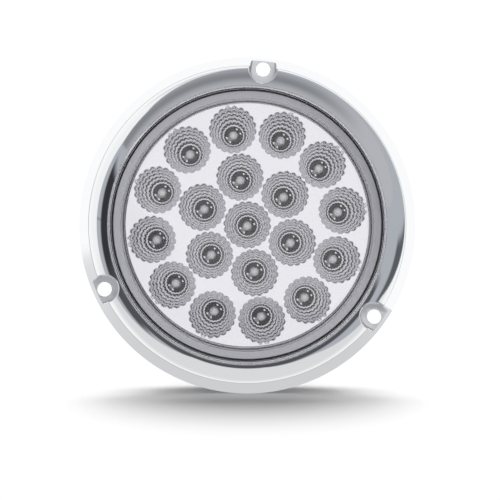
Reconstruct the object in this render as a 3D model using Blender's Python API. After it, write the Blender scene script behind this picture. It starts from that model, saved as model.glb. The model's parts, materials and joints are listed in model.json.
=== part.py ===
"""Round 4-inch LED trailer tail light in a chrome-plated screw-on flange.

Sizes are in millimetres. Each piece is modelled with its axis on local Z and its heights measured
forward from the mounting plane, then one parent turns the lamp so that it faces -Y, with +Z up.
"""

import math

import bmesh
import bpy
from mathutils import Matrix, Vector

MM = 0.001
GAP = 0.3  # between pieces that touch
PAST = 1.0  # how far a cutter runs past the face it cuts

# Flange bezel
FLANGE_R = 69.85
EDGE_H = 0.6
CREST_R = 64.25
CREST_H = 9.5
OUTER_ROUND_R = 0.9
OUTER_SLOPE = 60.3
ROLL_R = 1.5
ROLL_ANGLE = 8.0
DISH_R = 13.5
FOOT_R = 56.4
LIP_R = 55.8
LIP_BACK_H = 4.4
RECESS_R = 57.6
CHANNEL_IN_R = 59.2
CHANNEL_CELLS = 9
RIB_ANGLE = 2.0
BOSS_ANGLE = 14.0

# Screw holes and the pockets over them
SCREW_COUNT = 3
SCREW_ROLL = 84.2
SCREW_PITCH_R = 64.4
SCREW_HOLE_R = 3.0
POCKET_PITCH_R = 63.5
POCKET_R = 5.6
POCKET_FLOOR_H = 4.0
POCKET_MOUTH_HALF = 5.0

# Lens
LENS_FACE_R = 48.9
LENS_FACE_H = 8.8
LENS_THICK = 2.4
LENS_R = 54.7
LENS_INNER_R = 51.5
SHOULDER_H = 6.6
STACK_R = 57.3
LENS_FLANGE_LOW, LENS_FLANGE_TOP = 2.5, 3.3

# Seal and retaining ring
SEAL_LOW, SEAL_TOP = 3.6, 4.1
RING_LOW, RING_TOP = 0.2, 0.8
RING_INNER_R = 53.5

# Reflector: a plate with one parabolic cup in the middle, then two rings of cups
RINGS = ((1, 0.0), (6, 19.77), (12, 39.32))
LAMP_ROLL = 98.7
REFLECTOR_LOW, REFLECTOR_TOP = 4.4, 5.6
REFLECTOR_R = 49.5
SKIRT_R = 51.0
SKIRT_WALL = 1.0
REFLECTOR_FLANGE_LOW, REFLECTOR_FLANGE_TOP = 1.85, 2.3
CUP_RIM_R = 9.37
CUP_HOLE_R = 4.12
CUP_DEPTH = 17.0
CUP_WALL_TOP, CUP_WALL_LOW = 0.4, 0.9

# LEDs: a square body under the cup's hole, with a dome that stands in it
LED_BODY_HALF = 3.8
LED_BODY_H = 2.4
LED_DOME_R = 1.9
LED_DOME_H = 2.1
LED_ROLL = 40.0

# Circuit board and resin
BOARD_R = 49.0
BOARD_TOP, BOARD_LOW = -14.4, -16.0
POTTING_TOP, POTTING_LOW = -16.5, -20.5

# Housing
HOUSING_FLANGE_LOW, HOUSING_FLANGE_TOP = 1.0, 1.7
HOUSING_MOUTH_R = 53.0
HOUSING_BACK_R = 51.6
HOUSING_BACK, HOUSING_FLOOR = -22.8, -20.8
HOUSING_INNER_MOUTH_R = 50.5
HOUSING_INNER_FLOOR_R = 49.5
POST_R = 3.2

# Plug socket and its pins
SOCKET_BACK = -34.0
SOCKET_FLOOR = -24.3
SOCKET_HALF = (13.5, 9.0)
SOCKET_HOLE_HALF = (11.0, 6.5)
SOCKET_CORNER_R = 3.0
PIN_SPACING = 6.5
PIN_R = 1.2
PIN_TIP = -29.5

# Board screws and board parts
BOARD_SCREW_R = 27.0
SCREW_HEAD_R = 2.6
SCREW_HEAD_H = 1.6
SHANK_R = 1.05
SHANK_END = -20.0
PARTS_OUTER_R = 45.8

FINE, MEDIUM, COARSE = 100, 48, 12  # steps round a turned piece


def material(name, colour, roughness, metallic=0.0, alpha=1.0):
    made = bpy.data.materials.new(name)
    made.use_nodes = True
    shader = made.node_tree.nodes["Principled BSDF"]
    shader.inputs["Base Color"].default_value = (*colour, 1.0)
    shader.inputs["Roughness"].default_value = roughness
    shader.inputs["Metallic"].default_value = metallic
    shader.inputs["Alpha"].default_value = alpha
    made.diffuse_color = (*colour, alpha)
    return made


def clear_scene():
    for obj in list(bpy.data.objects):
        bpy.data.objects.remove(obj)


def finish_mesh(bm, name):
    """A mesh in metres with its faces pointing out."""
    bmesh.ops.remove_doubles(bm, verts=bm.verts, dist=1e-4)
    bmesh.ops.recalc_face_normals(bm, faces=bm.faces)
    bmesh.ops.scale(bm, vec=(MM, MM, MM), verts=bm.verts)
    mesh = bpy.data.meshes.new(name)
    bm.to_mesh(mesh)
    bm.free()
    mesh.shade_smooth()
    mesh.set_sharp_from_angle(angle=math.radians(35))
    return mesh


def turn(bm, profile, steps, closed=False, span=360.0, start=0.0):
    """Turns (radius, height) points about Z. A closed profile makes a ring, an open one starts and
    ends on the axis. A span under 360 degrees gets flat end faces."""
    turned = Matrix.Rotation(math.radians(start), 3, "Z")
    verts = [bm.verts.new(turned @ Vector((r, 0.0, h))) for r, h in profile]
    edges = [bm.edges.new(pair) for pair in zip(verts, verts[1:])]
    if closed:
        edges.append(bm.edges.new((verts[-1], verts[0])))
    whole = span == 360.0
    first = [bm.faces.new(verts)] if closed and not whole else []
    bmesh.ops.spin(
        bm,
        geom=first or verts + edges,
        axis=(0, 0, 1),
        cent=(0, 0, 0),
        angle=math.radians(span),
        steps=steps,
        use_merge=whole,
    )


def turned_mesh(name, profile, steps, closed=False):
    bm = bmesh.new()
    turn(bm, profile, steps, closed)
    return finish_mesh(bm, name)


def drum(bm, place, radius, low, top, steps):
    """A plain cylinder, standing at place."""
    made = bmesh.ops.create_cone(
        bm, cap_ends=True, segments=steps, radius1=radius, radius2=radius, depth=top - low
    )
    shift = Vector((place[0], place[1], (top + low) / 2))
    bmesh.ops.translate(bm, vec=shift, verts=made["verts"])


def prism(bm, outline, low, top):
    """An outline in XY, extruded from low to top."""
    verts = [bm.verts.new((x, y, low)) for x, y in outline]
    base = bm.faces.new(verts)
    grown = bmesh.ops.extrude_face_region(bm, geom=[base])
    moved = [part for part in grown["geom"] if isinstance(part, bmesh.types.BMVert)]
    bmesh.ops.translate(bm, vec=(0, 0, top - low), verts=moved)


def drums_mesh(name, places, radius, low, top, steps):
    bm = bmesh.new()
    for place in places:
        drum(bm, place, radius, low, top, steps)
    return finish_mesh(bm, name)


def loft(bm, outlines):
    """A closed solid through outlines of equal length, each a list of (x, y, height)."""
    rings = [[bm.verts.new(point) for point in outline] for outline in outlines]
    for low, high in zip(rings, rings[1:]):
        for i in range(len(low)):
            bm.faces.new((low[i - 1], low[i], high[i], high[i - 1]))
    bm.faces.new(rings[0])
    bm.faces.new(rings[-1])


def ring_outline(radius, height, steps, place=(0, 0)):
    angles = [2 * math.pi * i / steps for i in range(steps)]
    return [(place[0] + radius * math.cos(a), place[1] + radius * math.sin(a), height) for a in angles]


def arc(centre, radius, first, last, count):
    """Points along an arc, with angles in degrees from the radial direction."""
    angles = [math.radians(first + (last - first) * i / count) for i in range(count + 1)]
    return [(centre[0] + radius * math.cos(a), centre[1] + radius * math.sin(a)) for a in angles]


def rounded_box(half, corner, count=4):
    """A rectangle's outline with round corners, about its middle."""
    outline = []
    for i, (sx, sy) in enumerate(((1, 1), (-1, 1), (-1, -1), (1, -1))):
        centre = (sx * (half[0] - corner), sy * (half[1] - corner))
        outline += arc(centre, corner, 90.0 * i, 90.0 * (i + 1), count)
    return outline


def polar(radius, angle):
    turned = math.radians(angle)
    return Vector((radius * math.cos(turned), radius * math.sin(turned), 0.0))


def add(name, mesh, finish, parent, place=(0, 0, 0), roll=0.0):
    """Puts a mesh in the scene as one named piece."""
    obj = bpy.data.objects.new(name, mesh)
    if finish and not mesh.materials:
        mesh.materials.append(finish)
    obj.parent = parent
    obj.location = Vector(place) * MM
    obj.rotation_euler.z = math.radians(roll)
    bpy.context.scene.collection.objects.link(obj)
    return obj


def combine(obj, mesh, operation):
    """Joins or cuts a piece with a hidden helper that has the same parent."""
    helper = add(mesh.name, mesh, None, obj.parent)
    helper.hide_render = True
    helper.display_type = "WIRE"
    step = obj.modifiers.new(mesh.name, "BOOLEAN")
    step.operation = operation
    step.object = helper
    step.solver = "EXACT"


def screw_angles():
    return [SCREW_ROLL + 360.0 * i / SCREW_COUNT for i in range(SCREW_COUNT)]


def cup_places():
    places = []
    for count, radius in RINGS:
        places += [polar(radius, LAMP_ROLL + 360.0 * i / count) for i in range(count)]
    return places


def post_places():
    return [polar(BOARD_SCREW_R, LAMP_ROLL + 30.0 + 120.0 * i) for i in range(3)]


def pin_places():
    return [Vector((PIN_SPACING * i, 0.0, 0.0)) for i in (-1, 0, 1)]


def bezel_profile():
    """The solid ring's section: up the outer slope, over the crest, down the dish to the lip."""
    section = [(FLANGE_R, 0.0), (FLANGE_R, EDGE_H)]
    section += arc((CREST_R, CREST_H - OUTER_ROUND_R), OUTER_ROUND_R, 90.0 - OUTER_SLOPE, 90.0, 4)
    section += arc((CREST_R, CREST_H - ROLL_R), ROLL_R, 90.0, 90.0 + ROLL_ANGLE, 1)[1:]
    roll_end = section[-1]
    turned = math.radians(ROLL_ANGLE)
    centre = (roll_end[0] + DISH_R * math.sin(turned), roll_end[1] - DISH_R * math.cos(turned))
    foot_angle = 90.0 + math.degrees(math.asin((centre[0] - FOOT_R) / DISH_R))
    section += arc(centre, DISH_R, 90.0 + ROLL_ANGLE, foot_angle, 7)[1:]
    foot_h = section[-1][1]
    section += [(LIP_R, foot_h - 0.3), (LIP_R, LIP_BACK_H), (RECESS_R, LIP_BACK_H), (RECESS_R, 0.0)]
    return section


def pockets_mesh():
    """A U-shaped pocket over each screw hole, open to the outside above its floor."""
    reach = FLANGE_R - POCKET_PITCH_R + 2 * PAST
    outline = arc((0, 0), POCKET_R, 90.0, 270.0, 12)
    outline += [(reach, -POCKET_MOUTH_HALF), (reach, POCKET_MOUTH_HALF)]
    bm = bmesh.new()
    for angle in screw_angles():
        turned = Matrix.Translation(polar(POCKET_PITCH_R, angle))
        turned = turned @ Matrix.Rotation(math.radians(angle), 4, "Z")
        before = set(bm.verts)
        prism(bm, outline, POCKET_FLOOR_H, CREST_H + PAST)
        bmesh.ops.transform(bm, matrix=turned, verts=[vert for vert in bm.verts if vert not in before])
    return finish_mesh(bm, "bezel_pockets")


def channel_mesh():
    """The hollow in the ring's back, in cells between ribs and screw bosses."""
    section = [(CHANNEL_IN_R, -PAST), (67.9, -PAST), (64.5, 5.6)]
    section += [(63.9, 6.4), (62.8, 6.9), (61.4, 6.7), (CHANNEL_IN_R, 5.7)]
    cells_each = CHANNEL_CELLS // SCREW_COUNT
    free = 360.0 / SCREW_COUNT - BOSS_ANGLE
    cell = (free - (cells_each - 1) * RIB_ANGLE) / cells_each
    bm = bmesh.new()
    for angle in screw_angles():
        for i in range(cells_each):
            start = angle + BOSS_ANGLE / 2 + i * (cell + RIB_ANGLE)
            turn(bm, section, 6, closed=True, span=cell, start=start)
    return finish_mesh(bm, "bezel_channel")


def make_bezel(finish, parent):
    bm = bmesh.new()
    turn(bm, bezel_profile(), FINE, closed=True)
    bezel = add("flange_bezel", finish_mesh(bm, "bezel"), finish, parent)
    places = [polar(SCREW_PITCH_R, angle) for angle in screw_angles()]
    holes = drums_mesh("bezel_holes", places, SCREW_HOLE_R, -PAST, POCKET_FLOOR_H + PAST, 24)
    combine(bezel, pockets_mesh(), "DIFFERENCE")
    combine(bezel, holes, "DIFFERENCE")
    combine(bezel, channel_mesh(), "DIFFERENCE")


def make_lens(finish, parent):
    inner_h = LENS_FACE_H - LENS_THICK
    section = [(0.0, LENS_FACE_H), (LENS_FACE_R, LENS_FACE_H), (LENS_FACE_R + 0.7, LENS_FACE_H - 0.4)]
    section += [(LENS_R - 1.2, SHOULDER_H + 1.0), (LENS_R - 0.35, SHOULDER_H + 0.6), (LENS_R, SHOULDER_H)]
    section += [(LENS_R, LENS_FLANGE_TOP), (STACK_R, LENS_FLANGE_TOP)]
    section += [(STACK_R, LENS_FLANGE_LOW), (LENS_INNER_R, LENS_FLANGE_LOW)]
    section += [(LENS_INNER_R, inner_h - 0.6), (LENS_INNER_R - 0.6, inner_h), (0.0, inner_h)]
    add("lens", turned_mesh("lens", section, MEDIUM), finish, parent)


def make_band(name, inner, outer, low, top, finish, parent):
    section = [(outer, low), (outer, top), (inner, top), (inner, low)]
    add(name, turned_mesh(name, section, MEDIUM, True), finish, parent)


def cup_radius(depth):
    """The cup's inner radius: a parabola between its rim and the hole at its foot."""
    fall = (CUP_RIM_R ** 2 - CUP_HOLE_R ** 2) / CUP_DEPTH
    return math.sqrt(CUP_RIM_R ** 2 - fall * depth)


def cups_mesh(name, levels):
    """One solid for each cup, through (radius, height) levels."""
    bm = bmesh.new()
    for place in cup_places():
        loft(bm, [ring_outline(radius, height, COARSE, place) for radius, height in levels])
    return finish_mesh(bm, name)


def make_reflector(finish, parent):
    section = [(0.0, REFLECTOR_TOP), (REFLECTOR_R, REFLECTOR_TOP), (SKIRT_R, REFLECTOR_FLANGE_TOP)]
    section += [(STACK_R, REFLECTOR_FLANGE_TOP), (STACK_R, REFLECTOR_FLANGE_LOW)]
    section += [(SKIRT_R - SKIRT_WALL, REFLECTOR_FLANGE_LOW), (REFLECTOR_R - SKIRT_WALL, REFLECTOR_LOW)]
    section.append((0.0, REFLECTOR_LOW))
    plate = add("reflector", turned_mesh("reflector", section, MEDIUM), finish, parent)
    half = CUP_DEPTH / 2
    foot_h = REFLECTOR_TOP - CUP_DEPTH
    outer = [(cup_radius(REFLECTOR_TOP - REFLECTOR_LOW) + CUP_WALL_TOP, REFLECTOR_LOW + GAP)]
    outer += [(cup_radius(half) + CUP_WALL_LOW, REFLECTOR_TOP - half), (CUP_HOLE_R + CUP_WALL_LOW, foot_h)]
    inner = [(CUP_RIM_R, REFLECTOR_TOP + PAST), (CUP_RIM_R, REFLECTOR_TOP)]
    inner += [(cup_radius(half), REFLECTOR_TOP - half), (CUP_HOLE_R, foot_h), (CUP_HOLE_R, foot_h - PAST)]
    combine(plate, cups_mesh("cup_walls", outer), "UNION")
    combine(plate, cups_mesh("cup_hollows", inner), "DIFFERENCE")


def make_leds(finish, parent):
    """Each body is an eight-point square, so that its top joins the eight-sided dome."""
    half = LED_BODY_HALF
    square = [(1, 0), (1, 1), (0, 1), (-1, 1), (-1, 0), (-1, -1), (0, -1), (1, -1)]
    low = BOARD_TOP + GAP
    body_top = low + LED_BODY_H
    outlines = [[(half * x, half * y, height) for x, y in square] for height in (low, body_top)]
    outlines += [ring_outline(LED_DOME_R, height, 8) for height in (body_top, body_top + 1.1)]
    outlines.append(ring_outline(0.6 * LED_DOME_R, body_top + LED_DOME_H, 8))
    bm = bmesh.new()
    loft(bm, outlines)
    mesh = finish_mesh(bm, "led")
    for i, place in enumerate(cup_places(), 1):
        add(f"led_{i:02d}", mesh, finish, parent, place, LED_ROLL)


def make_board(finish, parent):
    section = [(0.0, BOARD_TOP), (BOARD_R, BOARD_TOP), (BOARD_R, BOARD_LOW), (0.0, BOARD_LOW)]
    board = add("circuit_board", turned_mesh("board", section, MEDIUM), finish, parent)
    low, top = BOARD_LOW - PAST, BOARD_TOP + PAST
    combine(board, drums_mesh("board_holes", post_places(), SHANK_R + GAP, low, top, 12), "DIFFERENCE")


def make_potting(finish, parent):
    section = [(0.0, POTTING_TOP), (BOARD_R, POTTING_TOP), (BOARD_R, POTTING_LOW), (0.0, POTTING_LOW)]
    resin = add("potting", turned_mesh("potting", section, MEDIUM), finish, parent)
    low, top = POTTING_LOW - PAST, POTTING_TOP + PAST
    combine(resin, drums_mesh("potting_posts", post_places(), POST_R + GAP, low, top, 16), "DIFFERENCE")
    combine(resin, drums_mesh("potting_pins", pin_places(), PIN_R + GAP, low, top, 12), "DIFFERENCE")


def make_housing(finish, parent):
    section = [(STACK_R, HOUSING_FLANGE_TOP), (STACK_R, HOUSING_FLANGE_LOW)]
    section += [(HOUSING_MOUTH_R, HOUSING_FLANGE_LOW), (HOUSING_BACK_R, HOUSING_BACK + 1.5)]
    section += [(HOUSING_BACK_R - 1.5, HOUSING_BACK), (0.0, HOUSING_BACK)]
    inner = [(0.0, HOUSING_FLOOR), (HOUSING_INNER_FLOOR_R, HOUSING_FLOOR)]
    section = inner + [(HOUSING_INNER_MOUTH_R, HOUSING_FLANGE_TOP)] + section
    can = add("housing", turned_mesh("housing", section, MEDIUM), finish, parent)
    bm = bmesh.new()
    prism(bm, rounded_box(SOCKET_HALF, SOCKET_CORNER_R), SOCKET_BACK, HOUSING_BACK + PAST)
    combine(can, finish_mesh(bm, "socket_boss"), "UNION")
    posts = drums_mesh("housing_posts", post_places(), POST_R, HOUSING_FLOOR - PAST, BOARD_LOW - GAP, 16)
    combine(can, posts, "UNION")
    bm = bmesh.new()
    prism(bm, rounded_box(SOCKET_HOLE_HALF, SOCKET_CORNER_R - 1.0), SOCKET_BACK - PAST, SOCKET_FLOOR)
    combine(can, finish_mesh(bm, "socket_hole"), "DIFFERENCE")
    bores = drums_mesh("post_bores", post_places(), SHANK_R + GAP, SHANK_END - GAP, BOARD_LOW + PAST, 12)
    combine(can, bores, "DIFFERENCE")
    slots = drums_mesh("pin_bores", pin_places(), PIN_R + GAP, SOCKET_FLOOR - PAST, HOUSING_FLOOR + PAST, 12)
    combine(can, slots, "DIFFERENCE")


def make_terminals(finish, parent):
    top = BOARD_LOW - GAP
    section = [(0.0, top), (PIN_R, top), (PIN_R, PIN_TIP + 1.0), (0.5 * PIN_R, PIN_TIP), (0.0, PIN_TIP)]
    mesh = turned_mesh("terminal", section, 12)
    for i, place in enumerate(pin_places(), 1):
        add(f"terminal_{i}", mesh, finish, parent, place)


def make_board_screws(finish, parent):
    seat = BOARD_TOP + GAP
    top = seat + SCREW_HEAD_H
    section = [(0.0, top), (SCREW_HEAD_R - 0.8, top), (SCREW_HEAD_R, top - 0.7), (SCREW_HEAD_R, seat)]
    section += [(SHANK_R, seat), (SHANK_R, SHANK_END + 0.8), (0.0, SHANK_END)]
    mesh = turned_mesh("board_screw", section, 12)
    for i, place in enumerate(post_places(), 1):
        add(f"board_screw_{i}", mesh, finish, parent, place)


def make_chip(name, half, height, place, roll, finish, parent):
    """A moulded board part with its corners cut, lying just above the board."""
    bm = bmesh.new()
    low = BOARD_TOP + GAP
    prism(bm, rounded_box(half, 0.3, 1), low, low + height)
    add(name, finish_mesh(bm, name), finish, parent, place, roll)


def make_board_parts(chips, cans, parent):
    first = LAMP_ROLL + 90.0
    make_chip("regulator", (3.3, 3.0), 2.3, polar(BOARD_SCREW_R, first), first, chips, parent)
    low = BOARD_TOP + GAP
    section = [(0.0, low), (3.1, low), (3.1, low + 5.2), (2.8, low + 5.5), (0.0, low + 5.5)]
    beside = polar(BOARD_SCREW_R, first + 120.0)
    add("capacitor", turned_mesh("capacitor", section, 16), cans, parent, beside)
    between = LAMP_ROLL + 15.0
    for name, turn_by in (("diode_tail", 150.0), ("diode_stop", 180.0)):
        angle = between + turn_by
        make_chip(name, (1.8, 2.2), 2.2, polar(PARTS_OUTER_R, angle), angle, chips, parent)
    for i, turn_by in enumerate((60.0, 240.0), 1):
        angle = between + turn_by
        make_chip(f"resistor_{i}", (1.6, 3.15), 0.7, polar(PARTS_OUTER_R, angle), angle, chips, parent)


def main():
    clear_scene()
    bpy.context.scene.unit_settings.scale_length = 1.0
    lamp = bpy.data.objects.new("lamp_axis", None)
    lamp.rotation_euler.x = math.radians(90.0)
    bpy.context.scene.collection.objects.link(lamp)

    chrome = material("bezel_chrome", (0.86, 0.87, 0.89), 0.05, metallic=1.0)
    clear = material("lens_clear", (0.93, 0.93, 0.95), 0.05, alpha=0.3)
    mirror = material("reflector_mirror", (0.90, 0.90, 0.93), 0.08, metallic=1.0)
    rubber = material("seal_rubber", (0.05, 0.05, 0.05), 0.8)
    black = material("housing_black", (0.03, 0.03, 0.03), 0.5)
    ring = material("ring_black", (0.04, 0.04, 0.04), 0.45)
    led = material("led_package", (0.65, 0.65, 0.67), 0.4)
    green = material("board_green", (0.03, 0.16, 0.07), 0.4)
    resin = material("potting_resin", (0.02, 0.02, 0.02), 0.25)
    brass = material("terminal_brass", (0.78, 0.60, 0.28), 0.3, metallic=1.0)
    steel = material("screw_steel", (0.55, 0.55, 0.57), 0.35, metallic=1.0)
    chips = material("chip_black", (0.03, 0.03, 0.03), 0.5)
    cans = material("capacitor_can", (0.75, 0.75, 0.77), 0.3, metallic=1.0)

    make_bezel(chrome, lamp)
    make_lens(clear, lamp)
    make_band("lens_seal", LENS_R + GAP, STACK_R, SEAL_LOW, SEAL_TOP, rubber, lamp)
    make_band("retaining_ring", RING_INNER_R, STACK_R, RING_LOW, RING_TOP, ring, lamp)
    make_reflector(mirror, lamp)
    make_leds(led, lamp)
    make_board(green, lamp)
    make_potting(resin, lamp)
    make_housing(black, lamp)
    make_terminals(brass, lamp)
    make_board_screws(steel, lamp)
    make_board_parts(chips, cans, lamp)


main()
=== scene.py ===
"""Looks of the round LED trailer tail light: a clear lens over 19 fluted reflector cups, in a chrome
flange. Shapes are in millimetres with the lamp's axis on Z and heights forward; to_lamp() turns
them into the frame, where the lens faces -Y and +Z is up."""

import json
import math

import bmesh
import bpy
import numpy as np
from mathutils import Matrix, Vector
from mathutils.geometry import delaunay_2d_cdt

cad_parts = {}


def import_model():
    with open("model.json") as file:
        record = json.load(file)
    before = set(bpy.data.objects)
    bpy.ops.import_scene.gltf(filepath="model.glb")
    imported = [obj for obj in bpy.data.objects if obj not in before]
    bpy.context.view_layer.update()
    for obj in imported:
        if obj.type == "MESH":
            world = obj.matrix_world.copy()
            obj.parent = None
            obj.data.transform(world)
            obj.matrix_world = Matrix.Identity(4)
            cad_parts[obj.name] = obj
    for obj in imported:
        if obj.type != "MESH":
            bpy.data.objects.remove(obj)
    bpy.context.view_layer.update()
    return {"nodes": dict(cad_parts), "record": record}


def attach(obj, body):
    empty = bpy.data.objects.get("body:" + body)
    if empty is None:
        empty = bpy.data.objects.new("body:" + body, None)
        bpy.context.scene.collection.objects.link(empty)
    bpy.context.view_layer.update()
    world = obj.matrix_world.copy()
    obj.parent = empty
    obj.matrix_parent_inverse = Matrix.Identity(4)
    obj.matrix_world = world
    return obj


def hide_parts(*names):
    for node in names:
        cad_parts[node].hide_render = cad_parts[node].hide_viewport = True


MM = 0.001

# Flange bezel
FLANGE_R, EDGE_H = 69.85, 0.6
CREST_R, CREST_H = 64.25, 9.5
OUTER_ROUND_R, OUTER_SLOPE = 0.25, 58.3
ROLL_R, ROLL_ANGLE = 1.5, 8.0
DISH_R = 13.5
FOOT_R, LIP_R, LIP_BACK_H, RECESS_R = 56.4, 55.8, 4.4, 57.6
SCREW_ROLL, SCREW_PITCH_R, SCREW_HOLE_R = 84.2, 64.4, 3.0
POCKET_PITCH_R, POCKET_R, POCKET_MOUTH_HALF, POCKET_FLOOR_H = 63.5, 5.3, 4.9, 4.0
POCKET_EDGE_R = 0.6
POCKET_REACH = FLANGE_R - POCKET_PITCH_R + 2.0
CHANNEL_IN_R, CHANNEL_CELLS, RIB_ANGLE, BOSS_ANGLE = 59.2, 3, 2.0, 14.0

# Lens and the pieces stacked behind the flange
LENS_FACE_R, LENS_FACE_H, LENS_THICK = 48.9, 8.8, 2.4
LENS_R, LENS_INNER_R, SHOULDER_H, STACK_R = 54.7, 51.5, 6.6, 57.3
LENS_FLANGE_LOW, LENS_FLANGE_TOP = 2.5, 3.3
LENS_ROUND_R, LENS_FILLET_R = 0.9, 0.6
SEAL_IN_R, SEAL_LOW, SEAL_TOP = 55.0, 3.6, 4.1
RING_IN_R, RING_LOW, RING_TOP = 53.5, 0.2, 0.8

# Reflector and LEDs
RINGS = ((1, 0.0), (6, 19.77), (12, 39.32))
LAMP_ROLL = 98.7
PLATE_H, PLATE_R, PLATE_LOW, SKIRT_R = 5.6, 49.5, 4.4, 51.0
PLATE_ROUND, PLATE_STEPS, SKIRT_WALL = 0.3, 240, 1.0
REFLECTOR_FLANGE_LOW, REFLECTOR_FLANGE_TOP = 1.85, 2.3
CUP_RIM_R, CUP_HOLE_R, CUP_DEPTH = 9.37, 4.12, 17.0
FLUTES, FLUTE_ROLL, TIERS = 20, 4.2, 5
FLUTE_SAG, DEEP_FLUTE_SHARE, FLUTE_FADE_DEPTH = 0.74, 0.38, 2.2
STEP_SHARE = 0.85
FACET_STEPS = (6, 5)
FACET_GAP = 0.0001
LIP_ROUND = 0.22
LED_ROLL = 40.0
LED_LOW, LED_TOP, LED_HALF = -14.1, -11.7, 3.8
DOME_R, DOME_H, DOME_FOOT = 1.9, 2.1, 0.5
LEAD_X, LEAD_Y, LEAD_HALF = 2.85, 1.2, (0.30, 0.42)

# Housing and socket
HOUSING_MOUTH_R, HOUSING_BACK_R, HOUSING_BACK = 53.0, 51.6, -22.8
HOUSING_FLANGE_LOW, HOUSING_FLANGE_TOP = 1.0, 1.7
HOUSING_IN_MOUTH_R, HOUSING_IN_R, HOUSING_FLOOR = 50.5, 49.5, -20.8
SOCKET_HALF, SOCKET_HOLE_HALF = (13.5, 9.0), (11.0, 6.5)
SOCKET_BACK, SOCKET_FLOOR = -34.0, -24.3
PIN_SPACING, PIN_R, PIN_TIP, PIN_TOP = 6.5, 1.2, -29.5, -16.3
PIN_BORE_R = 1.5

# Camera and stage. CAMERA_AT and FLOOR_H are in millimetres, and the other places in metres
CAMERA_AT = (1.13, -360.0, -10.25)
LENS_MM = 62.3
FLOOR_H = -69.9
TABLE_FADE = (0.012, 0.096)
LIGHT_AT, LIGHT_AIM = (0.0, 0.195, 0.75), (0.0, 0.0, -0.07)
LIGHT_SIZE, LIGHT_POWER = (0.50, 0.30), 5.8
FILL_LIGHT, BACKDROP = (0.35, 0.35, 0.35), (1.05, 1.05, 1.05)

# The lit panel's soft edges, as slopes from straight ahead: where each starts, and where it is full
PANEL_LEFT, PANEL_RIGHT = (-0.11, -0.07), (0.66, 0.58)
PANEL_FOOT, PANEL_TOP = (-0.60, -0.52), (1.72, 1.48)
WIDER_IN_LENS = 0.15


def to_lamp(points):
    """Points in millimetres, axis on Z, as points in the lamp's frame in metres."""
    x, y, z = np.asarray(points, float).reshape(-1, 3).T
    return np.column_stack((x, -z, y)) * MM


def make_mesh(name, points, faces, sharp=35.0, weld=True):
    """A mesh with smooth shading. Welding joins the points that meet, and turns the faces outwards."""
    bm = bmesh.new()
    verts = [bm.verts.new(p) for p in to_lamp(points)]
    for face in faces:
        corners = list(dict.fromkeys(face))
        if len(corners) > 2:
            bm.faces.new([verts[i] for i in corners])
    if weld:
        bmesh.ops.remove_doubles(bm, verts=bm.verts, dist=1e-6)
        bmesh.ops.recalc_face_normals(bm, faces=bm.faces)
    mesh = bpy.data.meshes.new(name)
    bm.to_mesh(mesh)
    bm.free()
    smooth(mesh, sharp)
    return mesh


def smooth(mesh, sharp):
    """Smooth shading, but for edges where two faces meet at more than sharp degrees."""
    mesh.shade_smooth()
    mesh.set_sharp_from_angle(angle=math.radians(sharp))


def paint(mesh, finishes):
    """Gives a mesh without materials its own, in order."""
    for finish in finishes:
        mesh.materials.append(finish)


def put(name, mesh, place=(0.0, 0.0)):
    """Adds a mesh to the scene, at a place across the lamp."""
    obj = bpy.data.objects.new(name, mesh)
    obj.location = (place[0] * MM, 0.0, place[1] * MM)
    bpy.context.scene.collection.objects.link(obj)
    return obj


def show(obj, slot, *nodes):
    """Makes a piece part of the lamp, in place of the CAD nodes."""
    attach(obj, "root")
    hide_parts(*nodes)


def grid_faces(rows, cols, wrap_rows=False, wrap_cols=True, first=0):
    """Faces over a grid of points, counted row by row from first."""
    faces = []
    for i in range(rows if wrap_rows else rows - 1):
        for j in range(cols if wrap_cols else cols - 1):
            k, n = (i + 1) % rows, (j + 1) % cols
            faces.append(tuple(first + a * cols + b for a, b in ((i, j), (i, n), (k, n), (k, j))))
    return faces


def ring_points(radius, angles, height):
    """Points round the axis, at the angles given in radians."""
    return np.column_stack((radius * np.cos(angles), radius * np.sin(angles), np.zeros_like(angles) + height))


def turned(name, profile, steps, closed=False):
    """A mesh turned from (radius, height) points. A closed profile makes a ring."""
    angles = 2 * math.pi * np.arange(steps) / steps
    rows = [ring_points(r, angles, h) for r, h in profile]
    return make_mesh(name, np.concatenate(rows), grid_faces(len(rows), steps, closed))


def loft(name, outlines):
    """A closed solid through outlines of equal length, each a list of (x, y, height)."""
    count = len(outlines[0])
    faces = grid_faces(len(outlines), count)
    faces += [tuple(range(count)), tuple(range((len(outlines) - 1) * count, len(outlines) * count))]
    return make_mesh(name, np.concatenate([np.array(o, float) for o in outlines]), faces)


def arc(centre, radius, first, last, count):
    """Points along an arc, between two angles in degrees."""
    angles = np.radians(np.linspace(first, last, count + 1))
    return [(centre[0] + radius * math.cos(a), centre[1] + radius * math.sin(a)) for a in angles]


def rounded_box(half, corner, count=6):
    """A rectangle with round corners, as (x, y) points."""
    outline = []
    for i, (sx, sy) in enumerate(((1, 1), (-1, 1), (-1, -1), (1, -1))):
        centre = (sx * (half[0] - corner), sy * (half[1] - corner))
        outline += arc(centre, corner, 90.0 * i, 90.0 * (i + 1), count)
    return outline


def at_height(outline, height):
    return [(x, y, height) for x, y in outline]


def placed(outline, pitch, angle):
    """An outline moved out along X by pitch, then turned by angle."""
    c, s = math.cos(math.radians(angle)), math.sin(math.radians(angle))
    return [((x + pitch) * c - y * s, (x + pitch) * s + y * c) for x, y in outline]


def carve(obj, mesh, operation="DIFFERENCE"):
    """Cuts or joins another mesh, and keeps the result as the object's own mesh."""
    helper = put("helper", mesh)
    step = obj.modifiers.new("carve", "BOOLEAN")
    step.operation, step.object, step.solver = operation, helper, "EXACT"
    made = bpy.data.meshes.new_from_object(obj.evaluated_get(bpy.context.evaluated_depsgraph_get()))
    made.materials.clear()
    obj.modifiers.clear()
    obj.data = made
    bpy.data.objects.remove(helper)


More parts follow.
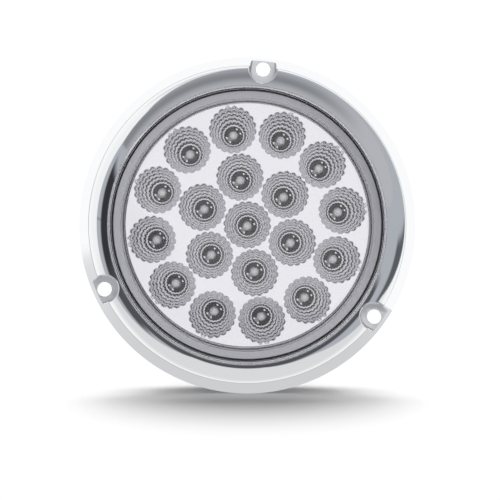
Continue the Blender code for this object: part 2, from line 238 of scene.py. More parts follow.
def joined(name, meshes):
    """One mesh out of several. A (mesh, number) pair gives its faces that material."""
    bm = bmesh.new()
    for found in meshes:
        mesh, index = found if isinstance(found, tuple) else (found, 0)
        before = len(bm.faces)
        bm.from_mesh(mesh)
        bm.faces.ensure_lookup_table()
        for face in bm.faces[before:]:
            face.material_index = index
    made = bpy.data.meshes.new(name)
    bm.to_mesh(made)
    bm.free()
    return made


def screw_angles():
    """The angles of the three screws, in degrees."""
    return [SCREW_ROLL + 120.0 * i for i in range(3)]


def polar(radius, angle):
    """The point (x, y) at a radius and an angle in degrees."""
    return radius * math.cos(math.radians(angle)), radius * math.sin(math.radians(angle))


def cup_places():
    """The (x, y) places of the cups, from the middle outwards."""
    places = []
    for count, radius in RINGS:
        places += [polar(radius, LAMP_ROLL + 360.0 * i / count) for i in range(count)]
    return places


# ---------------------------------------------------------------- bezel


def refined(points, step):
    """The same line of points, with more of them on its long straights."""
    made = points[:1]
    for (r0, h0), (r1, h1) in zip(points, points[1:]):
        count = max(1, math.ceil(math.hypot(r1 - r0, h1 - h0) / step))
        made += [(r0 + (r1 - r0) * i / count, h0 + (h1 - h0) * i / count) for i in range(1, count + 1)]
    return made


def bezel_angles():
    """Angles round the flange, close together at the pockets."""
    near, fine, coarse = 7.2, 0.16, 0.8
    found = []
    for angle in screw_angles():
        found += list(angle + np.arange(-near, near, fine))
        found += list(angle + np.arange(near, 120.0 - near, coarse))
    return np.sort(np.array(found) % 360.0)


def edge_drop(radius, angles):
    """How far the rounded edge of a pocket lies below the flange's face."""
    away = np.min([np.abs((angles - a + 180) % 360 - 180) for a in screw_angles()], axis=0)
    x = radius * np.cos(np.radians(away)) - POCKET_PITCH_R
    y = radius * np.sin(np.radians(away))
    side = y - POCKET_R + (POCKET_R - POCKET_MOUTH_HALF) * x / POCKET_REACH
    gap = np.where(x < 0, np.hypot(x, y) - POCKET_R, side)
    into = np.clip(POCKET_EDGE_R - gap, 0.0, POCKET_EDGE_R)
    return POCKET_EDGE_R - np.sqrt(POCKET_EDGE_R**2 - into**2)


def bezel_profile():
    """(radius, height) points up the outer slope, over the crest and down the dish to the lip."""
    outer = [(FLANGE_R - 0.3, 0.0), (FLANGE_R, 0.2), (FLANGE_R, EDGE_H)]
    outer += arc((CREST_R, CREST_H - OUTER_ROUND_R), OUTER_ROUND_R, 90 - OUTER_SLOPE, 90, 10)
    dish = arc((CREST_R, CREST_H - ROLL_R), ROLL_R, 90, 90 + ROLL_ANGLE, 4)[1:]
    turn = math.radians(ROLL_ANGLE)
    centre = (dish[-1][0] + DISH_R * math.sin(turn), dish[-1][1] - DISH_R * math.cos(turn))
    foot_angle = 90 + math.degrees(math.asin((centre[0] - FOOT_R) / DISH_R))
    dish += arc(centre, DISH_R, 90 + ROLL_ANGLE, foot_angle, 44)[1:]
    foot_h = dish[-1][1]
    lip = arc((LIP_R + 0.3, foot_h - 0.62), 0.3, 110, 180, 4)
    lip += [(LIP_R, LIP_BACK_H), (RECESS_R, LIP_BACK_H), (RECESS_R, 0.0)]
    return outer, dish, lip


def bezel_mesh():
    outer, dish, lip = bezel_profile()
    angles = bezel_angles()
    turn = np.radians(angles)
    rows = []
    for r, h in refined(outer, 0.6) + dish:
        drop = edge_drop(r, angles) if h > POCKET_FLOOR_H + 1.0 else 0.0
        rows.append(ring_points(r, turn, h - drop))
    rows += [ring_points(r, turn, h) for r, h in lip]
    return make_mesh("bezel", np.concatenate(rows), grid_faces(len(rows), len(turn), True))


def pocket_mesh(angle):
    """Cuts one pocket, with a fillet round its floor."""
    outlines = []
    for rise, grow in ((0.0, -0.5), (0.12, -0.25), (0.4, -0.05), (0.7, 0.0), (8.0, 0.02)):
        outline = arc((0, 0), POCKET_R + grow, 90.0, 270.0, 40)
        outline += [(POCKET_REACH, -POCKET_MOUTH_HALF - grow), (POCKET_REACH, POCKET_MOUTH_HALF + grow)]
        outlines.append(at_height(placed(outline, POCKET_PITCH_R, angle), POCKET_FLOOR_H + rise))
    return loft("pocket", outlines)


def hole_mesh(angle):
    """Cuts one screw hole, with its edge broken at the pocket's floor."""
    top, mouth_r = POCKET_FLOOR_H, SCREW_HOLE_R + 0.1
    outlines = []
    levels = ((-1.0, SCREW_HOLE_R), (top - 0.1, SCREW_HOLE_R), (top, mouth_r), (top + 1.0, mouth_r))
    for height, radius in levels:
        circle = arc((0, 0), radius, 0, 352.5, 47)
        outlines.append(at_height(placed(circle, SCREW_PITCH_R, angle), height))
    return loft("hole", outlines)


def channel_mesh(start, span):
    """One cell of the hollow in the flange's back."""
    section = [(CHANNEL_IN_R, -1.0), (67.9, -1.0), (64.5, 5.6), (63.9, 6.4), (62.8, 6.9), (61.4, 6.7)]
    section += [(CHANNEL_IN_R, 5.7)]
    angles = np.radians(np.linspace(start, start + span, 40))
    points = [(r * math.cos(a), r * math.sin(a), h) for a in angles for r, h in section]
    count = len(section)
    faces = grid_faces(len(angles), count)
    faces += [tuple(range(count)), tuple(range(len(points) - count, len(points)))]
    return make_mesh("channel", points, faces)


def make_bezel(finish, floor_finish_with_shade):
    """The bezel, with rougher chrome on its pockets' floors, darkened there as painted shade."""
    bezel = put("bezel", bezel_mesh())
    cell = (120.0 - BOSS_ANGLE - (CHANNEL_CELLS - 1) * RIB_ANGLE) / CHANNEL_CELLS
    cuts = [pocket_mesh(angle) for angle in screw_angles()]
    for angle in screw_angles():
        for i in range(CHANNEL_CELLS):
            cuts.append(channel_mesh(angle + BOSS_ANGLE / 2 + i * (cell + RIB_ANGLE), cell))
    carve(bezel, joined("cuts", cuts))
    carve(bezel, joined("holes", [hole_mesh(angle) for angle in screw_angles()]))
    paint(bezel.data, [finish, floor_finish_with_shade])
    # Faces on the pockets' floors take the rougher chrome, darkened as painted shade
    for face in bezel.data.polygons:
        level = abs(-face.center.y / MM - POCKET_FLOOR_H) < 0.3 and face.normal.y < -0.9
        face.material_index = int(level and face.center.length > (POCKET_PITCH_R - 6.0) * MM)
    smooth(bezel.data, 30.0)
    show(bezel, "bezel_chrome", "flange_bezel")


# ---------------------------------------------------------------- lens and stack


def make_lens(finish):
    """The closed shell of the lens, from the middle of its face round its edge and back inside."""
    inner_h = LENS_FACE_H - LENS_THICK
    section = [(0.0, LENS_FACE_H), (LENS_FACE_R * 0.6, LENS_FACE_H)]
    section += arc((LENS_FACE_R - 0.35, LENS_FACE_H - LENS_ROUND_R), LENS_ROUND_R, 90, 63, 5)
    section += arc((LENS_R - LENS_ROUND_R, SHOULDER_H), LENS_ROUND_R, 63, 0, 8)
    section += [(LENS_R, LENS_FLANGE_TOP + 0.3), (LENS_R + 0.3, LENS_FLANGE_TOP)]
    section += [(STACK_R, LENS_FLANGE_TOP), (STACK_R, LENS_FLANGE_LOW), (LENS_INNER_R, LENS_FLANGE_LOW)]
    section += arc((LENS_INNER_R - LENS_FILLET_R, inner_h - LENS_FILLET_R), LENS_FILLET_R, 0, 90, 5)
    section += [(LENS_FACE_R * 0.6, inner_h), (0.0, inner_h)]
    lens = put("clear_lens", turned("clear_lens", section, 288))
    paint(lens.data, [finish])
    show(lens, "lens_clear", "lens")


def make_seal(finish):
    """A ring with round edges."""
    middle, half = (SEAL_LOW + SEAL_TOP) / 2, (SEAL_TOP - SEAL_LOW) / 2
    section = arc((STACK_R - half, middle), half, -90, 90, 8)
    section += arc((SEAL_IN_R + half, middle), half, 90, 270, 8)
    seal = put("seal", turned("seal", section, 192, True))
    paint(seal.data, [finish])
    show(seal, "seal_rubber", "lens_seal")


def make_ring(finish):
    """A flat ring with its back edges bevelled."""
    bevel = 0.15
    section = [(RING_IN_R, RING_LOW + bevel), (RING_IN_R + bevel, RING_LOW), (STACK_R - bevel, RING_LOW)]
    section += [(STACK_R, RING_LOW + bevel), (STACK_R, RING_TOP), (RING_IN_R, RING_TOP)]
    ring = put("snap_ring", turned("snap_ring", section, 192, True))
    paint(ring.data, [finish])
    show(ring, "ring_black", "retaining_ring")


# ---------------------------------------------------------------- reflector and LEDs


def cup_radius(depth):
    """The plain parabola that the tiers step round."""
    return np.sqrt(CUP_RIM_R**2 - (CUP_RIM_R**2 - CUP_HOLE_R**2) * depth / CUP_DEPTH)


def cup_point(depth, turn):
    """The radius of the cup's wall at a depth and an angle: a stepped parabola with scooped flutes."""
    tier = np.minimum(np.floor(depth / CUP_DEPTH * TIERS), TIERS - 1)
    v = depth / CUP_DEPTH * TIERS - tier
    top, foot = cup_radius(tier * CUP_DEPTH / TIERS), cup_radius((tier + 1) * CUP_DEPTH / TIERS)
    fall = (1 - STEP_SHARE) * v + STEP_SHARE * (1 - np.sqrt(np.maximum(1 - v * v, 0)))
    base = top - (top - foot) * fall
    u = ((turn - math.radians(FLUTE_ROLL)) / (2 * math.pi / FLUTES)) % 1.0 - 0.5
    share = DEEP_FLUTE_SHARE + (1 - DEEP_FLUTE_SHARE) * np.exp(-depth / FLUTE_FADE_DEPTH)
    return base + share * FLUTE_SAG * (0.4 - 4 * u * u)


def facet_grid(flute, tier):
    """One scooped facet as a grid of points. It stops just short of its neighbours."""
    across, down = FACET_STEPS
    u = np.linspace(FACET_GAP - 0.5, 0.5 - FACET_GAP, across + 1)
    v = np.sin(np.pi / 2 * np.linspace(FACET_GAP, 1 - FACET_GAP, down + 1))
    turn = (flute + 0.5 + u) * (2 * math.pi / FLUTES) + math.radians(FLUTE_ROLL)
    turn, depth = np.meshgrid(turn, (tier + v) / TIERS * CUP_DEPTH)
    radius = cup_point(depth, turn)
    return np.stack((radius * np.cos(turn), radius * np.sin(turn), PLATE_H - LIP_ROUND - depth), axis=-1)


def rim_radius(turn):
    """The scalloped rim's radius, where the facets start."""
    return cup_point(np.full_like(turn, FACET_GAP * CUP_DEPTH), turn)


def rim_turns():
    """Angles along the rim, at the facets' own points."""
    within = np.linspace(FACET_GAP, 1 - FACET_GAP, FACET_STEPS[0] + 1)
    steps = (np.arange(FLUTES)[:, None] + within[None, :]).ravel()
    return steps * (2 * math.pi / FLUTES) + math.radians(FLUTE_ROLL)


def lip_rows(turns):
    """The rounded lip between the rim and the plate, as rows of points."""
    rim = rim_radius(turns)
    rows = []
    for a in np.radians(np.linspace(0, 90, 5)):
        height = PLATE_H - LIP_ROUND + LIP_ROUND * math.sin(a)
        rows.append(ring_points(rim + LIP_ROUND * (1 - math.cos(a)), turns, height))
    return rows


def reflector_mesh():
    points, faces = [], []
    across, down = FACET_STEPS
    patches = [facet_grid(f, t) for f in range(FLUTES) for t in range(TIERS)]
    lip = lip_rows(rim_turns())
    for x, y in cup_places():
        shift = np.array((x, y, 0.0))
        for patch in patches:
            faces += grid_faces(down + 1, across + 1, wrap_cols=False, first=len(points))
            points.extend((patch + shift).reshape(-1, 3))
        faces += grid_faces(len(lip), len(lip[0]), first=len(points))
        points.extend(np.concatenate(lip) + shift)
    add_plate(points, faces, lip[-1])
    add_skirt(points, faces)
    return make_mesh("reflector", points, faces, sharp=60.0, weld=False)


def add_plate(points, faces, rim):
    """The flat plate between the cups, as triangles."""
    edge_r = PLATE_R - PLATE_ROUND
    flat = [Vector(polar(edge_r, 360.0 * i / PLATE_STEPS)) for i in range(PLATE_STEPS)]
    loops = [list(range(PLATE_STEPS))]
    for x, y in cup_places():
        loops.append(list(range(len(flat), len(flat) + len(rim))))
        flat += [Vector((x + p[0], y + p[1])) for p in rim]
    edges = [(loop[i - 1], loop[i]) for loop in loops for i in range(len(loop))]
    found, _, tris, _, _, _ = delaunay_2d_cdt(flat, edges, [], 0, 1e-5)
    flat = np.array([tuple(p) for p in found])
    tris = np.array(tris)
    middle = flat[tris].mean(axis=1)
    keep = np.hypot(middle[:, 0], middle[:, 1]) < edge_r
    for place in cup_places():
        away = middle - np.array(place)
        turn = np.arctan2(away[:, 1], away[:, 0])
        keep &= np.hypot(away[:, 0], away[:, 1]) > rim_radius(turn) + LIP_ROUND * 0.98
    first = len(points)
    points.extend(np.column_stack((flat, np.full(len(flat), PLATE_H))))
    faces.extend(tuple(int(first + i) for i in tri) for tri in tris[keep])


def add_skirt(points, faces):
    """The plate's rounded edge, the sloped skirt and the flange under the lens."""
    section = arc((PLATE_R - PLATE_ROUND, PLATE_H - PLATE_ROUND), PLATE_ROUND, 90, 25, 5)
    section += [(SKIRT_R, REFLECTOR_FLANGE_TOP), (STACK_R, REFLECTOR_FLANGE_TOP)]
    section += [(STACK_R, REFLECTOR_FLANGE_LOW), (SKIRT_R - SKIRT_WALL, REFLECTOR_FLANGE_LOW)]
    section += [(PLATE_R - SKIRT_WALL, PLATE_LOW)]
    angles = 2 * math.pi * np.arange(PLATE_STEPS) / PLATE_STEPS
    faces.extend(grid_faces(len(section), PLATE_STEPS, first=len(points)))
    for r, h in section:
        points.extend(ring_points(r, angles, h))


def make_reflector(finish, shaded_satin):
    """The reflector, with a rougher finish on its flange, darkened there as painted shade under the lens."""
    mirror = put("reflector_cups", reflector_mesh())
    paint(mirror.data, [finish, shaded_satin])
    # The flange's faces take the rougher finish, darkened as painted shade
    for face in mirror.data.polygons:
        face.material_index = int(abs(-face.center.y / MM - REFLECTOR_FLANGE_TOP) < 0.01)
    show(mirror, "reflector_mirror", "reflector")


def led_mesh():
    """A square package with a dome, four leads and a plate. Their materials are 0, 1, 2 and 3."""
    body = []
    for height, inset in ((LED_LOW, 0.0), (LED_TOP - 0.25, 0.0), (LED_TOP - 0.07, 0.07), (LED_TOP, 0.25)):
        half = LED_HALF - inset
        body.append(at_height(placed(rounded_box((half, half), 0.6), 0.0, LED_ROLL), height))
    pieces = [(loft("body", body), 0)]
    spring = LED_TOP + DOME_FOOT
    profile = [(DOME_R + 0.25, LED_TOP - 0.1), (DOME_R + 0.05, LED_TOP + 0.1), (DOME_R, spring)]
    for a in np.radians(np.linspace(8, 90, 12)):
        profile.append((DOME_R * math.cos(a), spring + (DOME_H - DOME_FOOT) * math.sin(a)))
    pieces.append((turned("dome", profile, 40), 1))
    for x, y in ((LEAD_X, LEAD_Y), (LEAD_X, -LEAD_Y), (-LEAD_X, LEAD_Y), (-LEAD_X, -LEAD_Y)):
        lead = [(x + dx, y + dy) for dx, dy in rounded_box(LEAD_HALF, 0.12, 3)]
        levels = [at_height(placed(lead, 0.0, LED_ROLL), h) for h in (LED_TOP - 0.1, LED_TOP + 0.12)]
        pieces.append((loft("lead", levels), 2))
    plate = [(-1.6, -0.8), (-3.3, -1.8), (-3.3, 1.8), (-1.6, 0.8)]
    levels = [at_height(placed(plate, 0.0, LED_ROLL), h) for h in (LED_TOP - 0.1, LED_TOP + 0.03)]
    pieces.append((loft("plate", levels), 3))
    mesh = joined("led", pieces)
    smooth(mesh, 35.0)
    return mesh


def make_leds(finishes):
    mesh = led_mesh()
    paint(mesh, finishes)
    for i, place in enumerate(cup_places(), 1):
        led = put(f"led_package_{i:02d}", mesh, place)
        show(led, "led_package", f"led_{i:02d}")


# ---------------------------------------------------------------- housing, socket, pins


def housing_section():
    """(radius, height) points of the can, up its inside, over the flange and down to its back."""
    section = [(0.0, HOUSING_FLOOR), (HOUSING_IN_R - 0.5, HOUSING_FLOOR), (HOUSING_IN_R, HOUSING_FLOOR + 0.5)]
    section += [(HOUSING_IN_MOUTH_R, HOUSING_FLANGE_TOP), (STACK_R, HOUSING_FLANGE_TOP)]
    section += [(STACK_R, HOUSING_FLANGE_LOW + 0.2), (STACK_R - 0.2, HOUSING_FLANGE_LOW)]
    section += arc((HOUSING_MOUTH_R + 0.8, HOUSING_FLANGE_LOW - 0.8), 0.8, 90, 180, 4)
    section += arc((HOUSING_BACK_R - 1.5, HOUSING_BACK + 1.5), 1.5, 0, -90, 8)
    return section + [(30.0, HOUSING_BACK), (0.0, HOUSING_BACK)]


def socket_boss():
    """The socket's block, which flares into the can and has rounded edges."""
    boss = []
    for height, inset in ((HOUSING_BACK + 1, -0.5), (HOUSING_BACK, -0.5), (HOUSING_BACK - 0.4, -0.12),
                          (HOUSING_BACK - 0.9, 0.0), (SOCKET_BACK + 0.5, 0.0), (SOCKET_BACK + 0.15, 0.12),
                          (SOCKET_BACK, 0.45)):
        half = (SOCKET_HALF[0] - inset, SOCKET_HALF[1] - inset)
        boss.append(at_height(rounded_box(half, 3.0 - inset), height))
    return loft("boss", boss)


def socket_hollow():
    """Cuts the socket, which widens at its mouth."""
    hole = []
    for height, inset in ((SOCKET_BACK - 1, -1.3), (SOCKET_BACK + 0.3, 0.0), (SOCKET_FLOOR, 0.1)):
        half = (SOCKET_HOLE_HALF[0] - inset, SOCKET_HOLE_HALF[1] - inset)
        hole.append(at_height(rounded_box(half, 2.0), height))
    return loft("socket_hole", hole)


def pin_bore(x):
    """Cuts one pin's hole through the socket's floor."""
    circle = [(x + dx, dy) for dx, dy in arc((0, 0), PIN_BORE_R, 0, 345, 23)]
    return loft("bore", [at_height(circle, h) for h in (SOCKET_FLOOR - 1.0, HOUSING_FLOOR + 1.0)])


def make_housing(finish):
    can = put("housing_can", turned("housing_can", housing_section(), 240))
    carve(can, socket_boss(), "UNION")
    carve(can, socket_hollow())
    for i in (-1, 0, 1):
        carve(can, pin_bore(PIN_SPACING * i))
    paint(can.data, [finish])
    smooth(can.data, 30.0)
    show(can, "housing_black", "housing")


def make_pins(finish):
    """The three pins, with round tips at the back."""
    section = [(0.0, PIN_TOP), (PIN_R, PIN_TOP), (PIN_R, PIN_TIP + 1.0)]
    for a in np.radians(np.linspace(10, 90, 8)):
        section.append((PIN_R * math.cos(a), PIN_TIP + 1.0 - math.sin(a)))
    mesh = turned("pin", section, 32)
    paint(mesh, [finish])
    for i in (-1, 0, 1):
        pin = put(f"pin_{i + 2}", mesh, (PIN_SPACING * i, 0.0))
        show(pin, "terminal_brass", f"terminal_{i + 2}")


# ---------------------------------------------------------------- finishes


def new_finish(name, colour, roughness, spread=0.0, scale=40.0, bump=0.0, bump_scale=400.0, **more):
    """A Principled material whose roughness varies with noise, and that may have a fine bump."""
    made = bpy.data.materials.new(name)
    made.use_nodes = True
    tree = made.node_tree
    shader = tree.nodes["Principled BSDF"]
    shader.inputs["Base Color"].default_value = (*colour, 1.0)
    for key, value in more.items():
        shader.inputs[key.replace("_", " ")].default_value = value
    where = tree.nodes.new("ShaderNodeTexCoord")
    noise = tree.nodes.new("ShaderNodeTexNoise")
    noise.inputs["Scale"].default_value = scale
    noise.inputs["Detail"].default_value = 3.0
    tree.links.new(where.outputs["Object"], noise.inputs["Vector"])
    level = tree.nodes.new("ShaderNodeMapRange")
    level.inputs["To Min"].default_value = max(0.0, roughness - spread)
    level.inputs["To Max"].default_value = roughness + spread
    tree.links.new(noise.outputs["Fac"], level.inputs["Value"])
    tree.links.new(level.outputs["Result"], shader.inputs["Roughness"])
    if bump:
        grain = tree.nodes.new("ShaderNodeTexNoise")
        grain.inputs["Scale"].default_value = bump_scale
        tree.links.new(where.outputs["Object"], grain.inputs["Vector"])
        lift = tree.nodes.new("ShaderNodeBump")
        lift.inputs["Strength"].default_value = bump
        lift.inputs["Distance"].default_value = 0.0002
        tree.links.new(grain.outputs["Fac"], lift.inputs["Height"])
        tree.links.new(lift.outputs["Normal"], shader.inputs["Normal"])
    return made


def mirror_finish(name, colour, roughness, *texture):
    """A metal, with the same texture numbers as new_finish."""
    return new_finish(name, colour, roughness, *texture, Metallic=1.0)


def make_finishes():
    """Every finish, by material slot, with those of the pieces' smaller areas after them."""
    clear = {"Transmission_Weight": 1.0, "IOR": 1.47}
    return {
        "bezel_chrome": mirror_finish("chrome", (0.87, 0.875, 0.885), 0.05, 0.02, 60.0, 0.03, 60.0),
        "lens_clear": new_finish("clear_plastic", (0.975, 0.97, 0.99), 0.015, 0.01, 50.0, **clear),
        "reflector_mirror": mirror_finish("metallised", (0.915, 0.912, 0.92), 0.05, 0.02, 60.0, 0.05, 45.0),
        "seal_rubber": new_finish("rubber", (0.09, 0.09, 0.09), 0.6, 0.1),
        "housing_black": new_finish("black_plastic", (0.02, 0.02, 0.021), 0.42, 0.08, 80.0, 0.25, 1800.0),
        "ring_black": new_finish("ring_plastic", (0.025, 0.025, 0.027), 0.4, 0.08, 80.0, 0.2, 1500.0),
        "led_package": new_finish("led_body", (0.045, 0.045, 0.048), 0.4, 0.1, 300.0, 0.3, 900.0),
        "board_green": new_finish("board_green_mask", (0.02, 0.14, 0.06), 0.35, 0.08, 90.0),
        "potting_resin": new_finish("resin_black", (0.015, 0.015, 0.016), 0.2, 0.06, 60.0),
        "terminal_brass": mirror_finish("brass", (0.78, 0.60, 0.28), 0.28, 0.08, 120.0),
        "screw_steel": mirror_finish("zinc_steel", (0.6, 0.6, 0.62), 0.33, 0.08, 120.0),
        "chip_black": new_finish("chip_mould", (0.03, 0.03, 0.03), 0.5, 0.08, 120.0),
        "capacitor_can": mirror_finish("can_aluminium", (0.75, 0.75, 0.77), 0.3, 0.06, 100.0),
        # The pocket floors: rougher chrome, with its colour darkened as painted shade in the recesses
        "pocket_floor": mirror_finish("rough_chrome_painted_shade", (0.74, 0.745, 0.76), 0.32, 0.05, 90.0, 0.1, 300.0),
        # The reflector's flange: a rougher metallised finish, its colour darkened as painted shade under the
        # lens
        "reflector_flange": mirror_finish("metallised_satin_painted_shade", (0.52, 0.515, 0.54), 0.30, 0.06, 60.0),
        "led_dome": mirror_finish("led_dome", (0.80, 0.80, 0.81), 0.35, 0.05, 90.0),
        "led_leads": mirror_finish("led_leads", (0.85, 0.85, 0.86), 0.25, 0.05, 90.0),
        "led_plate": mirror_finish("led_frame", (0.42, 0.42, 0.43), 0.5, 0.05, 90.0),
    }


def finish_cad(frame, made):
    """Gives every CAD node that still shows the finish of its slot."""
    slots = {part["node"]: part["material_slot"] for part in frame["record"]["subparts"]}
    for name, node in frame["nodes"].items():
        node.data.materials.clear()
        paint(node.data, [made[slots[name]]])


# ---------------------------------------------------------------- stage


class Sums:
    """Short calls for the stage's nodes that work on numbers and colours."""

    def __init__(self, tree):
        self.tree = tree

    def do(self, operation, *values):
        node = self.tree.nodes.new("ShaderNodeMath")
        node.operation = operation
        for slot, value in zip(node.inputs, values):
            if isinstance(value, (int, float)):
                slot.default_value = value
            else:
                self.tree.links.new(value, slot)
        return node.outputs[0]

    def step(self, value, low, high):
        """0 at low and 1 at high, smooth between them and level past them."""
        node = self.tree.nodes.new("ShaderNodeMapRange")
        node.interpolation_type = "SMOOTHSTEP"
        self.tree.links.new(value, node.inputs["Value"])
        node.inputs["From Min"].default_value = low
        node.inputs["From Max"].default_value = high
        return node.outputs["Result"]

    def product(self, *values):
        result = values[0]
        for value in values[1:]:
            result = self.do("MULTIPLY", result, value)
        return result

    def mix(self, share, first, second):
        """The first colour where share is 0, and the second where it is 1."""
        node = self.tree.nodes.new("ShaderNodeMix")
        node.data_type = "RGBA"
        self.tree.links.new(share, node.inputs[0])
        for slot, value in ((node.inputs[6], first), (node.inputs[7], second)):
            if isinstance(value, tuple):
                slot.default_value = (*value, 1.0)
            else:
                self.tree.links.new(value, slot)
        return node.outputs[2]


def panel_mask(sums, across, rise, in_lens):
    """Where the lit panel is: 1 inside it and 0 outside. Its left edge leans, and its top is cut off."""
    above = sums.do("MAXIMUM", rise, 0.0)
    below = sums.do("MAXIMUM", sums.do("MULTIPLY", rise, -1.0), 0.0)
    lean = sums.do("MINIMUM", sums.do("MULTIPLY", above, 1.3), sums.do("MULTIPLY_ADD", above, 0.15, 0.30))
    lean = sums.do("SUBTRACT", lean, sums.do("MAXIMUM", sums.do("MULTIPLY_ADD", below, 0.85, -0.05), 0.0))
    lean = sums.do("MULTIPLY_ADD", in_lens, WIDER_IN_LENS, lean)
    cut = sums.do("MAXIMUM", sums.do("MULTIPLY_ADD", across, -1.27, -0.25), 0.0)
    left, right = sums.step(sums.do("ADD", across, lean), *PANEL_LEFT), sums.step(across, *PANEL_RIGHT)
    foot, top = sums.step(rise, *PANEL_FOOT), sums.step(sums.do("ADD", rise, cut), *PANEL_TOP)
    return sums.product(left, right, foot, top)


def panel_colour(sums, across, rise, in_lens):
    """The panel is even in the lens. In the chrome it is dimmer at the right, above, and in a strip."""
    glow = sums.mix(sums.step(across, 0.15, 0.35), (1.06, 1.06, 1.06), (1.00, 1.00, 1.00))
    glow = sums.mix(sums.step(rise, 0.08, 0.32), glow, (0.79, 0.79, 0.80))
    strip = sums.product(sums.step(rise, -0.13, -0.18), sums.step(rise, -0.26, -0.21),
                         sums.step(sums.do("ABSOLUTE", across), 0.20, 0.14))
    glow = sums.mix(strip, glow, (0.78, 0.78, 0.79))
    return sums.mix(in_lens, glow, (0.94, 0.94, 0.94))


def shaded_patch(sums, right, up):
    """Where the shaded patch at the upper left is: 1 inside it and 0 outside."""
    left = sums.do("MULTIPLY", right, -1.0)
    tilt = sums.do("DIVIDE", up, sums.do("MAXIMUM", left, 0.01))
    over, under = sums.step(tilt, 0.10, 0.22), sums.step(tilt, 0.80, 0.60)
    return sums.product(over, under, sums.step(left, 0.55, 0.45))


def dark_walls(sums, right, back, up):
    """Where the dark wall at the right and the dark above are. side is the distance from the axis."""
    side = sums.do("SQRT", sums.do("SUBTRACT", 1.0, sums.do("MULTIPLY", back, back)))
    toward = sums.do("MULTIPLY_ADD", right, 0.985, sums.do("MULTIPLY", up, 0.174))
    toward = sums.do("DIVIDE", toward, sums.do("MAXIMUM", side, 0.01))
    at_right, above_table = sums.step(toward, 0.72, 0.84), sums.step(up, -0.36, -0.26)
    wall = sums.product(sums.step(side, 0.68, 0.76), at_right, above_table)
    high = sums.product(sums.step(side, 0.80, 0.86), sums.step(up, 0.30, 0.45))
    outer_end = sums.step(side, 0.965, 0.93)
    return sums.product(sums.do("MAXIMUM", wall, high), outer_end)


def room_colour(sums, right, back, up, in_lens):
    """Grey round the panel, with darker parts in it. Behind the lamp it is white, with a grey band."""
    room = sums.mix(in_lens, (0.46, 0.48, 0.52), (0.64, 0.65, 0.68))
    room = sums.mix(shaded_patch(sums, right, up), room, (0.11, 0.12, 0.13))
    black = sums.mix(sums.step(up, 0.20, 0.45), (0.04, 0.04, 0.045), (0.09, 0.09, 0.10))
    room = sums.mix(dark_walls(sums, right, back, up), room, black)
    room = sums.mix(sums.step(back, -0.02, 0.12), room, (1.08, 1.08, 1.08))
    band = sums.product(sums.step(back, 0.65, 0.72), sums.step(back, 0.95, 0.88))
    return sums.mix(band, room, (0.42, 0.43, 0.45))


def make_world():
    """White to the camera and even grey to matt surfaces. The rest meets a bright panel in a dim room."""
    world = bpy.data.worlds.new("studio")
    bpy.context.scene.world = world
    world.use_nodes = True
    tree = world.node_tree
    sums = Sums(tree)
    split = tree.nodes.new("ShaderNodeSeparateXYZ")
    tree.links.new(tree.nodes.new("ShaderNodeTexCoord").outputs["Generated"], split.inputs[0])
    right, back, up = split.outputs
    ahead = sums.do("MAXIMUM", sums.do("MULTIPLY", back, -1.0), 0.001)
    across, rise = sums.do("DIVIDE", right, ahead), sums.do("DIVIDE", up, ahead)
    path = tree.nodes.new("ShaderNodeLightPath")
    in_lens = path.outputs["Is Transmission Ray"]
    look = sums.mix(panel_mask(sums, across, rise, in_lens), room_colour(sums, right, back, up, in_lens),
                    panel_colour(sums, across, rise, in_lens))
    look = sums.mix(path.outputs["Is Diffuse Ray"], look, FILL_LIGHT)
    look = sums.mix(path.outputs["Is Camera Ray"], look, BACKDROP)
    tree.links.new(look, tree.nodes["Background"].inputs["Color"])


def add_floor(name, outline, height):
    """A flat stage piece with its own material. Its outline is in metres and its height in millimetres."""
    mesh = bpy.data.meshes.new(name)
    mesh.from_pydata([(x, y, height * MM) for x, y in outline], [], [tuple(range(len(outline)))])
    floor = bpy.data.objects.new(name, mesh)
    bpy.context.scene.collection.objects.link(floor)
    made = bpy.data.materials.new(name + "_paint")
    made.use_nodes = True
    mesh.materials.append(made)
    return floor, made.node_tree


def make_table():
    """The pale table, fading into the white beyond the lamp's shadow."""
    table, tree = add_floor("table", ((-0.45, -0.3), (0.45, -0.3), (0.45, 0.6), (-0.45, 0.6)), FLOOR_H)
    table.visible_glossy = False
    shader, out = tree.nodes["Principled BSDF"], tree.nodes["Material Output"]
    shader.inputs["Base Color"].default_value = (0.93, 0.93, 0.93, 1.0)
    shader.inputs["Roughness"].default_value = 0.9
    shader.inputs["Specular IOR Level"].default_value = 0.0
    where = tree.nodes.new("ShaderNodeTexCoord")
    squash, away = tree.nodes.new("ShaderNodeVectorMath"), tree.nodes.new("ShaderNodeVectorMath")
    squash.operation, away.operation = "MULTIPLY", "LENGTH"
    squash.inputs[1].default_value = (1.0, 0.5, 0.0)
    tree.links.new(where.outputs["Object"], squash.inputs[0])
    tree.links.new(squash.outputs["Vector"], away.inputs[0])
    clear, fade = tree.nodes.new("ShaderNodeBsdfTransparent"), tree.nodes.new("ShaderNodeMixShader")
    tree.links.new(Sums(tree).step(away.outputs["Value"], *TABLE_FADE), fade.inputs[0])
    tree.links.new(shader.outputs[0], fade.inputs[1])
    tree.links.new(clear.outputs[0], fade.inputs[2])
    tree.links.new(fade.outputs[0], out.inputs["Surface"])


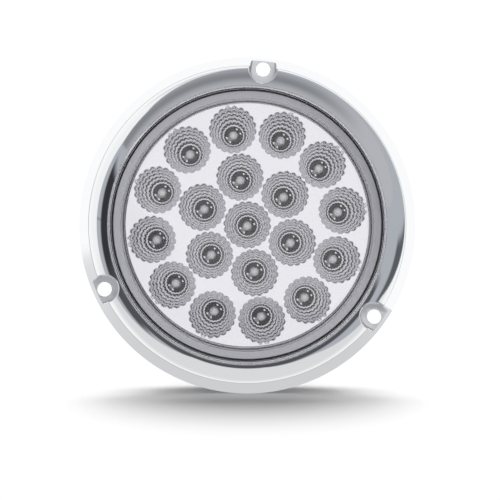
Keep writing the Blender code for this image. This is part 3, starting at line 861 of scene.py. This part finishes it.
def make_painted_table_glow():
    """A glowing sheet seen only in the chrome, painted with shade: darkest in front, lighter at the left and
    behind.
    """
    outline = ((-0.8, 0.8), (-0.8, -0.66), (0.0, -0.64), (0.035, -0.50))
    outline += ((0.07, -0.28), (0.12, -0.27), (0.13, 0.8))
    table, tree = add_floor("table_reflection", outline, FLOOR_H - 0.1)
    table.visible_camera = table.visible_diffuse = table.visible_transmission = False
    table.visible_shadow = False
    sums = Sums(tree)
    split = tree.nodes.new("ShaderNodeSeparateXYZ")
    tree.links.new(tree.nodes.new("ShaderNodeTexCoord").outputs["Object"], split.inputs[0])
    x, y = split.outputs[0], split.outputs[1]
    # Painted shade: darkest in front of the lamp, and the lamp's shadow painted round its foot, whiter far
    # behind
    colour = sums.mix(sums.step(y, -0.45, -0.17), (0.37, 0.38, 0.41), (0.25, 0.26, 0.28))
    colour = sums.mix(sums.step(x, -0.02, -0.11), colour, (0.50, 0.51, 0.54))
    colour = sums.mix(sums.step(y, -0.18, -0.04), colour, (0.49, 0.50, 0.52))
    colour = sums.mix(sums.step(y, -0.06, 0.0), colour, (0.70, 0.70, 0.71))
    colour = sums.mix(sums.step(y, 0.0, 0.08), colour, (0.80, 0.80, 0.80))
    colour = sums.mix(sums.step(y, 0.10, 0.45), colour, (1.05, 1.05, 1.05))
    glow = tree.nodes.new("ShaderNodeEmission")
    tree.links.new(colour, glow.inputs["Color"])
    tree.links.new(glow.outputs[0], tree.nodes["Material Output"].inputs["Surface"])


def make_light():
    """One soft light above and a little behind, which throws the lamp's shadow to the front."""
    data = bpy.data.lights.new("overhead", "AREA")
    data.shape, data.size, data.size_y, data.energy = "RECTANGLE", *LIGHT_SIZE, LIGHT_POWER
    light = bpy.data.objects.new("overhead", data)
    light.location = LIGHT_AT
    light.rotation_euler = (Vector(LIGHT_AIM) - Vector(LIGHT_AT)).to_track_quat("-Z", "Y").to_euler()
    bpy.context.scene.collection.objects.link(light)
    light.visible_glossy = False
    light.visible_transmission = False


def make_camera():
    data = bpy.data.cameras.new("camera")
    data.sensor_width, data.lens = 36.0, LENS_MM
    data.clip_start, data.clip_end = 0.01, 50.0
    camera = bpy.data.objects.new("camera", data)
    camera.location = Vector(CAMERA_AT) * MM
    camera.rotation_euler = (math.pi / 2, 0.0, 0.0)
    bpy.context.scene.collection.objects.link(camera)
    bpy.context.scene.camera = camera


def make_stage():
    make_camera()
    make_world()
    make_table()
    make_painted_table_glow()
    make_light()
    scene = bpy.context.scene
    scene.view_settings.view_transform = "Standard"
    scene.cycles.max_bounces = 24
    scene.cycles.glossy_bounces = 12
    scene.cycles.transmission_bounces = 16


def corners(found):
    """A box's two corners as plain lists, rounded."""
    return [[round(v, 6) for v in corner] for corner in found]


def main():
    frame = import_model()
    made = make_finishes()
    finish_cad(frame, made)
    make_bezel(made["bezel_chrome"], made["pocket_floor"])
    make_lens(made["lens_clear"])
    make_seal(made["seal_rubber"])
    make_ring(made["ring_black"])
    make_reflector(made["reflector_mirror"], made["reflector_flange"])
    make_leds([made["led_package"], made["led_dome"], made["led_leads"], made["led_plate"]])
    make_housing(made["housing_black"])
    make_pins(made["terminal_brass"])
    make_stage()


main()
